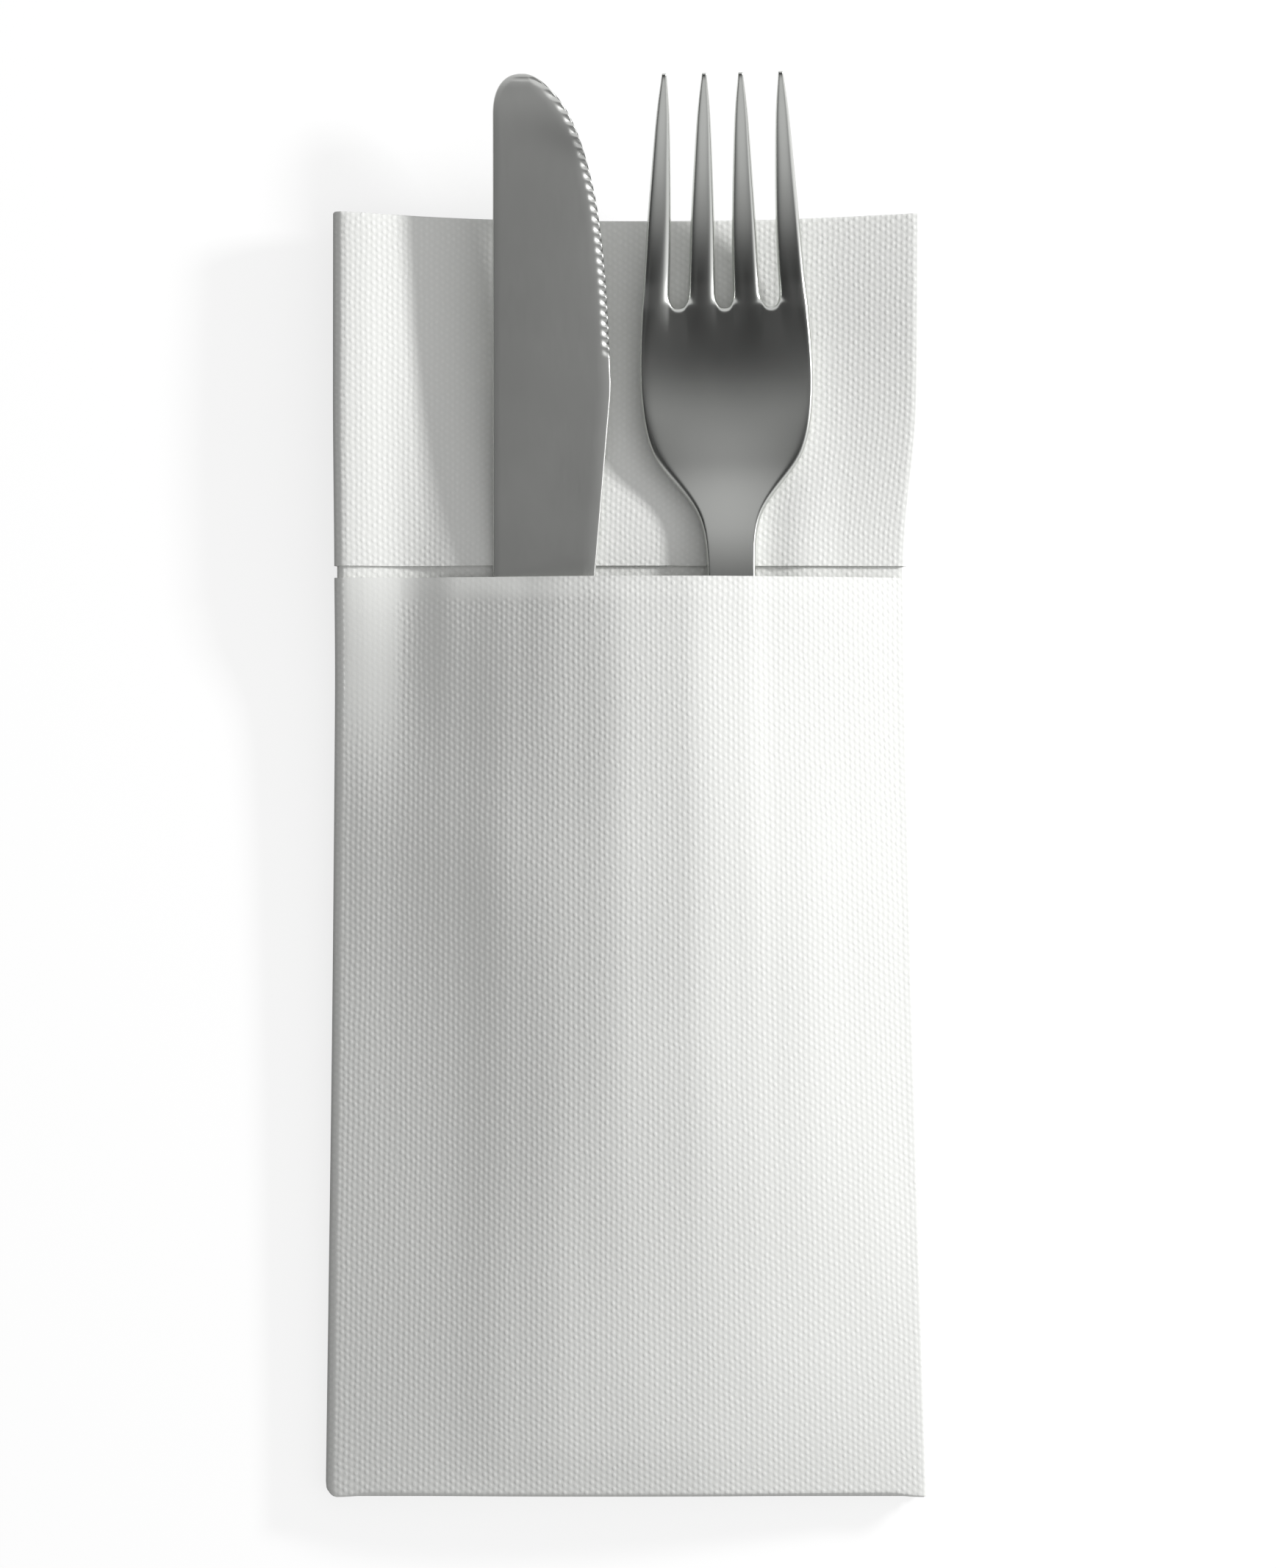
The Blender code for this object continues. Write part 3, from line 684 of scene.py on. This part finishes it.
def fork_across(column, s):
    """Where a column lies across the fork, and its share of its tine's half width."""
    tine, place = column
    left, right = tine_sides(tine, s)
    if place > 1:
        next_left = tine_sides(tine + 1, s)[0]
        return (right + next_left) / 2 + (next_left - right) / 2 * (place - 3), 0.0
    half = (right - left) / 2
    if abs(place) == 0.5:
        share = 1 - min(FORK_RIM / half, 0.45)
        return (left + right) / 2 + half * math.copysign(share, place), share
    return (left + right) / 2 + half * place, abs(place)


def slot_rounding(column, row_s):
    """How much further up the fork a point lies, because the slots' bottoms are round."""
    tine, place = column
    if place > 1:
        rounding = 1 - math.sqrt(1 - (place - 3) ** 2)
    else:
        outer = (tine == 0 and place < 0) or (tine == 3 and place > 0)
        rounding = 0.0 if outer else {0: 0.45, 0.5: 0.8, 1: 1.0}[abs(place)]
    distance = abs(row_s - FORK_ROOT)
    return SLOT_ROUND * rounding * max(0.0, 1 - distance / SLOT_ROUND_FADE)


def fork_rows():
    handle = [0.0, 0.001, 0.003, 0.006, 0.010, 0.015, 0.022, 0.034, 0.048, 0.062, 0.075, 0.087]
    head = [0.074, 0.068, 0.062, 0.056, 0.051, 0.047, 0.0435, 0.040, 0.0375, 0.035, 0.0325, 0.030, 0.0275, 0.025]
    head += [0.022, 0.019, 0.0155, 0.012, 0.009, 0.0065, 0.0042, 0.0024, 0.0011, 0.0005]
    tines = [0.0030, 0.0046, 0.0065, 0.009, 0.012, 0.015, 0.018, 0.021, 0.024, 0.027, 0.030, 0.0325, 0.0345]
    tines += [0.036, 0.037, TINE_LENGTH]
    return handle + [FORK_ROOT - at for at in head] + [FORK_ROOT] + [FORK_ROOT + at for at in tines]


def fork_place(s, across, w):
    """A point of the fork in its own frame: w runs from -0.5 at its underside to 0.5 at its face."""
    step = 0.0005
    slope = math.atan2(fork_height(s + step) - fork_height(s - step), 2 * step)
    bowl = FORK_BOWL_DEPTH * smooth_between(((FORK_ROOT - 0.044, 0), (FORK_ROOT - 0.018, 1), (FORK_LENGTH, 0.5)), s)
    height = fork_height(s) + bowl * (2 * across / FORK_HEAD_WIDTH) ** 2
    offset = w * fork_thickness(s)
    return Vector((across, s - offset * math.sin(slope), height + offset * math.cos(slope)))


def rim_thinning(column, s, row_s):
    """Share of the full thickness: less at the outline and round the slots."""
    tine, place = column
    outline = (tine == 0 and place == -1) or (tine == 3 and place == 1)
    on_tine = abs(place) == 1 and row_s >= FORK_ROOT
    if outline or on_tine or s >= FORK_LENGTH:
        return FORK_RIM_THINNING
    return SLOT_RIM_THINNING if place > 1 and row_s == FORK_ROOT else 1.0


def make_fork(material):
    """A table fork with four tines: a cage with a support line inside each edge, rounded by subdivision."""
    rows, columns = fork_rows(), fork_columns()
    root_row = rows.index(FORK_ROOT)
    in_slot = [i for i in range(len(columns) - 1) if columns[i][1] > 1 or columns[i + 1][1] > 1]
    gone = {(column, row) for column in in_slot for row in range(root_row, len(rows) - 1)}
    bm = slab(len(columns) - 1, len(rows) - 1, gone)
    lay = (
        Matrix.Translation((FORK_X, FORK_FROM_FOLD + FORK_ROOT, 0))
        @ Matrix.Rotation(FORK_YAW, 4, "Z")
        @ Matrix.Rotation(FORK_TILT, 4, "X")
        @ Matrix.Rotation(FORK_ROLL, 4, "Y")
        @ Matrix.Translation((0, -FORK_ROOT, 0))
    )
    points = []
    for vert in bm.verts:
        column, row_s = columns[round(vert.co.x)], rows[round(vert.co.y)]
        s = row_s + slot_rounding(column, row_s)
        across, share = fork_across(column, max(s, row_s) if row_s >= FORK_ROOT else row_s)
        thin = rim_thinning(column, s, row_s)
        point = fork_place(s, across, vert.co.z * thin)
        if vert.co.z > 0:
            left, right = tine_sides(column[0], max(s, FORK_ROOT))
            crown = TINE_CROWN * (right - left) * ease(1 - (FORK_ROOT - s) / CROWN_FADE)
            point.z += crown * (1 - share**2) if column[1] <= 1 else 0
        points.append(lay @ point)
    for vert, point in zip(bm.verts, seated(points)):
        vert.co = point
    fork = make_piece("table_fork", bm, material, math.radians(80))
    rounding = fork.modifiers.new("rounding", "SUBSURF")
    rounding.levels = 2
    rounding.render_levels = 2
    return fork


# ---- Materials ----


class Nodes:
    """Short names for making a material's nodes."""

    def __init__(self, name):
        self.material = bpy.data.materials.new(name)
        self.material.use_nodes = True
        self.tree = self.material.node_tree
        self.shader = self.tree.nodes["Principled BSDF"]

    def add(self, kind, inputs=None, **settings):
        node = self.tree.nodes.new(kind)
        for key, value in settings.items():
            setattr(node, key, value)
        for key, value in (inputs or {}).items():
            self.set(node, key, value)
        return node

    def set(self, node, key, value):
        socket = node.inputs[key]
        if isinstance(value, bpy.types.NodeSocket):
            self.tree.links.new(value, socket)
        elif isinstance(value, bpy.types.Node):
            self.tree.links.new(value.outputs[0], socket)
        else:
            socket.default_value = value

    def math(self, operation, a, b=0.0, c=None):
        node = self.add("ShaderNodeMath", {0: a, 1: b}, operation=operation)
        if c is not None:
            self.set(node, 2, c)
        return node.outputs[0]

    def stretch(self, value, low, high, to_low=0.0, to_high=1.0):
        node = self.add("ShaderNodeMapRange", interpolation_type="SMOOTHSTEP")
        for key, number in zip((0, 1, 2, 3, 4), (value, low, high, to_low, to_high)):
            self.set(node, key, number)
        return node.outputs[0]


COLUMN_PITCH = 0.898 * MM
BUMP_PITCH = 1.239 * MM


def paper_material():
    """White tissue with a fine emboss: upright columns of small bumps, each column half a step off the next, with
    painted shade that darkens the base colour in the emboss's hollows.
    """
    n = Nodes("embossed_paper")
    flat = n.add("ShaderNodeAttribute", attribute_name="flat").outputs["Vector"]
    drift = n.add("ShaderNodeTexNoise", {"Vector": flat, "Scale": 260.0, "Detail": 1.0})
    wander = n.add("ShaderNodeVectorMath", {0: drift.outputs["Color"], 1: (0.5, 0.5, 0.5)}, operation="SUBTRACT")
    place = n.add("ShaderNodeVectorMath", operation="MULTIPLY_ADD")
    n.set(place, 0, wander)
    n.set(place, 1, (0.55 * MM, 0.55 * MM, 0))
    n.set(place, 2, flat)
    split = n.add("ShaderNodeSeparateXYZ", {0: place})
    half_across = n.math("MULTIPLY", split.outputs[0], math.pi / COLUMN_PITCH)
    along = n.math("MULTIPLY", split.outputs[1], 2 * math.pi / BUMP_PITCH)
    rising = n.math("COSINE", n.math("ADD", half_across, along))
    falling = n.math("COSINE", n.math("SUBTRACT", half_across, along))
    columns = n.math("COSINE", n.math("MULTIPLY", half_across, 2.0))
    waves = n.math("ADD", n.math("ADD", rising, falling), columns)
    bumps = n.stretch(waves, -1.6, 2.9)
    uneven = n.add("ShaderNodeTexNoise", {"Vector": flat, "Scale": 620.0, "Detail": 1.0})
    strength = n.stretch(uneven.outputs[0], 0.25, 0.75, 0.45, 1.0)
    fibres = n.add("ShaderNodeTexNoise", {"Vector": flat, "Scale": 3600.0, "Detail": 3.0, "Roughness": 0.6})
    height = n.math("MULTIPLY", n.math("MULTIPLY", bumps, strength), n.math("SUBTRACT", 1.0, smooth_hem(n, flat)))
    relief = n.math("MULTIPLY_ADD", fibres.outputs[0], 0.2, height)
    bump = n.add("ShaderNodeBump", {"Height": relief, "Distance": EMBOSS_DEPTH, "Strength": 1.0})
    n.set(n.shader, "Normal", bump)
    # Painted shade: the base colour follows the emboss height, darker in the hollows and lighter on the bumps' tops;
    # where the hem is smooth it stays at the darker tone.
    colour = n.add("ShaderNodeMix", data_type="RGBA")
    n.set(colour, 0, height)
    n.set(colour, 6, (0.865, 0.872, 0.850, 1))
    n.set(colour, 7, (0.915, 0.920, 0.900, 1))
    n.set(n.shader, "Base Color", colour.outputs[2])
    n.shader.inputs["Roughness"].default_value = 0.92
    n.shader.inputs["Specular IOR Level"].default_value = 0.25
    n.shader.inputs["Sheen Weight"].default_value = 0.08
    return n.material


EMBOSS_DEPTH = 0.054 * MM


def smooth_hem(n, flat):
    """1 where the emboss is pressed flat, along the mouth and down its left side, and 0 elsewhere."""
    split = n.add("ShaderNodeSeparateXYZ", {0: flat})
    left = n.stretch(split.outputs[0], FRONT_START + 0.0075, FRONT_START + 0.0105, 1.0, 0.0)
    left = n.math("MULTIPLY", left, n.stretch(split.outputs[1], 0.016, 0.036, 1.0, 0.0))
    top = n.stretch(split.outputs[1], 0.0032, 0.0046, 1.0, 0.0)
    top = n.math("MULTIPLY", top, n.stretch(split.outputs[0], FRONT_START + 0.030, FRONT_START + 0.045, 1.0, 0.0))
    on_front = n.stretch(split.outputs[0], FRONT_START - 0.0002, FRONT_START, 0.0, 0.8)
    return n.math("MULTIPLY", n.math("MAXIMUM", left, top), on_front)


def steel_material(name, colour, roughness, brushed):
    """Stainless steel with faint brushing along its length and small changes in its polish."""
    n = Nodes(name)
    place = n.add("ShaderNodeTexCoord").outputs["Object"]
    streaks = n.add("ShaderNodeMapping", {"Vector": place, "Scale": (9000.0, 160.0, 9000.0)})
    brushing = n.add("ShaderNodeTexNoise", {"Vector": streaks, "Scale": 1.0, "Detail": 2.0})
    cloud = n.add("ShaderNodeTexNoise", {"Vector": place, "Scale": 55.0, "Detail": 2.0})
    polish = n.math("MULTIPLY_ADD", brushing.outputs[0], brushed, roughness - brushed / 2)
    polish = n.math("MULTIPLY_ADD", cloud.outputs[0], 0.05, polish)
    n.set(n.shader, "Roughness", polish)
    bump = n.add("ShaderNodeBump", {"Height": brushing.outputs[0], "Distance": 0.0006 * MM * 2, "Strength": 0.5})
    n.set(n.shader, "Normal", bump)
    n.shader.inputs["Base Color"].default_value = (*colour, 1)
    n.shader.inputs["Metallic"].default_value = 1.0
    return n.material


# ---- Studio ----


def floor_material():
    """A matt floor that shows white to the camera and in reflections, and keeps the shadows on it."""
    n = Nodes("white_floor")
    tree = n.tree
    path = n.add("ShaderNodeLightPath")
    seen = n.math("MAXIMUM", path.outputs["Is Camera Ray"], path.outputs["Is Glossy Ray"])
    seen = n.math("MAXIMUM", seen, path.outputs["Is Transmission Ray"])
    matt = n.add("ShaderNodeBsdfDiffuse", {"Color": (0.34, 0.34, 0.34, 1)})
    glow = n.add("ShaderNodeEmission", {"Color": (1, 1, 1, 1), "Strength": n.math("MULTIPLY", seen, 0.76)})
    both = n.add("ShaderNodeAddShader")
    tree.links.new(matt.outputs[0], both.inputs[0])
    tree.links.new(glow.outputs[0], both.inputs[1])
    tree.links.new(both.outputs[0], tree.nodes["Material Output"].inputs["Surface"])
    tree.nodes.remove(n.shader)
    return n.material


def make_floor():
    mesh = bpy.data.meshes.new("floor")
    reach = 4.0
    mesh.from_pydata([(-reach, -reach, 0), (reach, -reach, 0), (reach, reach, 0), (-reach, reach, 0)], [], [(0, 1, 2, 3)])
    floor = bpy.data.objects.new("floor", mesh)
    floor.location.z = -0.0003
    mesh.materials.append(floor_material())
    bpy.context.scene.collection.objects.link(floor)


def make_world():
    """White to the camera, an even fill for matt surfaces, and a studio with a dark overhead card for steel."""
    world = bpy.data.worlds.new("studio")
    bpy.context.scene.world = world
    world.use_nodes = True
    tree = world.node_tree
    nodes, links = tree.nodes, tree.links
    nodes.clear()
    output = nodes.new("ShaderNodeOutputWorld")
    path = nodes.new("ShaderNodeLightPath")
    direction = nodes.new("ShaderNodeTexCoord")
    split = nodes.new("ShaderNodeSeparateXYZ")
    links.new(direction.outputs["Generated"], split.inputs[0])

    def maths(operation, a, b):
        node = nodes.new("ShaderNodeMath")
        node.operation = operation
        for index, value in enumerate((a, b)):
            if isinstance(value, bpy.types.NodeSocket):
                links.new(value, node.inputs[index])
            else:
                node.inputs[index].default_value = value
        return node.outputs[0]

    def ramp(axis, stops):
        node = nodes.new("ShaderNodeValToRGB")
        links.new(maths("ADD", maths("MULTIPLY", split.outputs[axis], 0.5), 0.5), node.inputs[0])
        band = node.color_ramp
        for element, (place, level) in zip(band.elements, (stops[0], stops[-1])):
            element.position = 0.5 + place / 2
            element.color = (level, level, level, 1)
        for place, level in stops[1:-1]:
            band.elements.new(0.5 + place / 2).color = (level, level, level, 1)
        return node.outputs[0]

    glossy = nodes.new("ShaderNodeBackground")
    card = maths("MAXIMUM", ramp("Y", LENGTHWAYS), ramp("X", ACROSS))
    links.new(card, glossy.inputs["Strength"])
    fill = nodes.new("ShaderNodeBackground")
    fill.inputs["Color"].default_value = (1, 1, 1, 1)
    links.new(maths("ADD", maths("MULTIPLY", split.outputs["X"], FILL_LEAN * FILL), FILL), fill.inputs["Strength"])
    white = nodes.new("ShaderNodeBackground")
    white.inputs["Color"].default_value = (1, 1, 1, 1)
    lit = nodes.new("ShaderNodeMixShader")
    links.new(path.outputs["Is Glossy Ray"], lit.inputs[0])
    links.new(fill.outputs[0], lit.inputs[1])
    links.new(glossy.outputs[0], lit.inputs[2])
    seen = nodes.new("ShaderNodeMixShader")
    links.new(maths("MAXIMUM", path.outputs["Is Camera Ray"], path.outputs["Is Transmission Ray"]), seen.inputs[0])
    links.new(lit.outputs[0], seen.inputs[1])
    links.new(white.outputs[0], seen.inputs[2])
    links.new(seen.outputs[0], output.inputs[0])


FILL = 0.47
FILL_LEAN = 0.8

# Brightness seen in polished steel by direction: towards the tips, and towards the right
LENGTHWAYS = (
    (-1.0, 0.95),
    (-0.595, 0.90),
    (-0.566, 0.70),
    (-0.507, 0.50),
    (-0.415, 0.32),
    (-0.284, 0.10),
    (-0.15, 0.04),
    (0.16, 0.04),
    (0.25, 0.20),
    (0.31, 0.55),
    (0.36, 0.95),
    (1.0, 1.0),
)
ACROSS = ((-1.0, 0.05), (-0.5, 0.05), (-0.25, 0.09), (0.0, 0.03), (0.45, 0.08), (0.62, 0.30), (0.78, 1.0), (1.0, 1.1))
KEY_DISTANCE = 0.70
KEY_AZIMUTH = math.radians(24)
KEY_ELEVATION = math.radians(18.5)
KEY_LEVEL = 1.0


def make_key():
    """A small softbox low on the right, a little towards the tips."""
    data = bpy.data.lights.new("key", "AREA")
    data.shape = "RECTANGLE"
    data.size = 0.16
    data.size_y = 0.06
    data.energy = KEY_LEVEL * math.pi**2 * KEY_DISTANCE**2
    key = bpy.data.objects.new("key", data)
    away = Vector(
        (
            math.cos(KEY_ELEVATION) * math.cos(KEY_AZIMUTH),
            math.cos(KEY_ELEVATION) * math.sin(KEY_AZIMUTH),
            math.sin(KEY_ELEVATION),
        )
    )
    key.location = away * KEY_DISTANCE
    key.rotation_euler = away.to_track_quat("Z", "Y").to_euler()
    bpy.context.scene.collection.objects.link(key)


CAMERA_HEIGHT = 0.704
VIEW_HEIGHT = 0.2643
VIEW_CENTRE = (0.00186, 0.00092)


def make_camera():
    data = bpy.data.cameras.new("camera")
    data.lens = data.sensor_width * (CAMERA_HEIGHT - 0.004) / VIEW_HEIGHT
    camera = bpy.data.objects.new("camera", data)
    camera.location = (*VIEW_CENTRE, CAMERA_HEIGHT)
    bpy.context.scene.collection.objects.link(camera)
    bpy.context.scene.camera = camera


def main():
    bpy.context.scene.view_settings.view_transform = "Standard"
    make_camera()
    make_floor()
    make_world()
    make_key()

    paper = paper_material()
    blade = steel_material("blade_steel", (0.60, 0.606, 0.59), 0.40, 0.06)
    steel = steel_material("fork_steel", (0.64, 0.65, 0.63), 0.20, 0.04)

    napkin = make_napkin(paper)
    pieces = ((napkin, "napkin", "napkin"), (make_knife(blade), "knife", "knife"), (make_fork(steel), "fork", "fork"))
    for piece, node, slot in pieces:
        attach(piece, "root")
        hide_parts(node)


main()
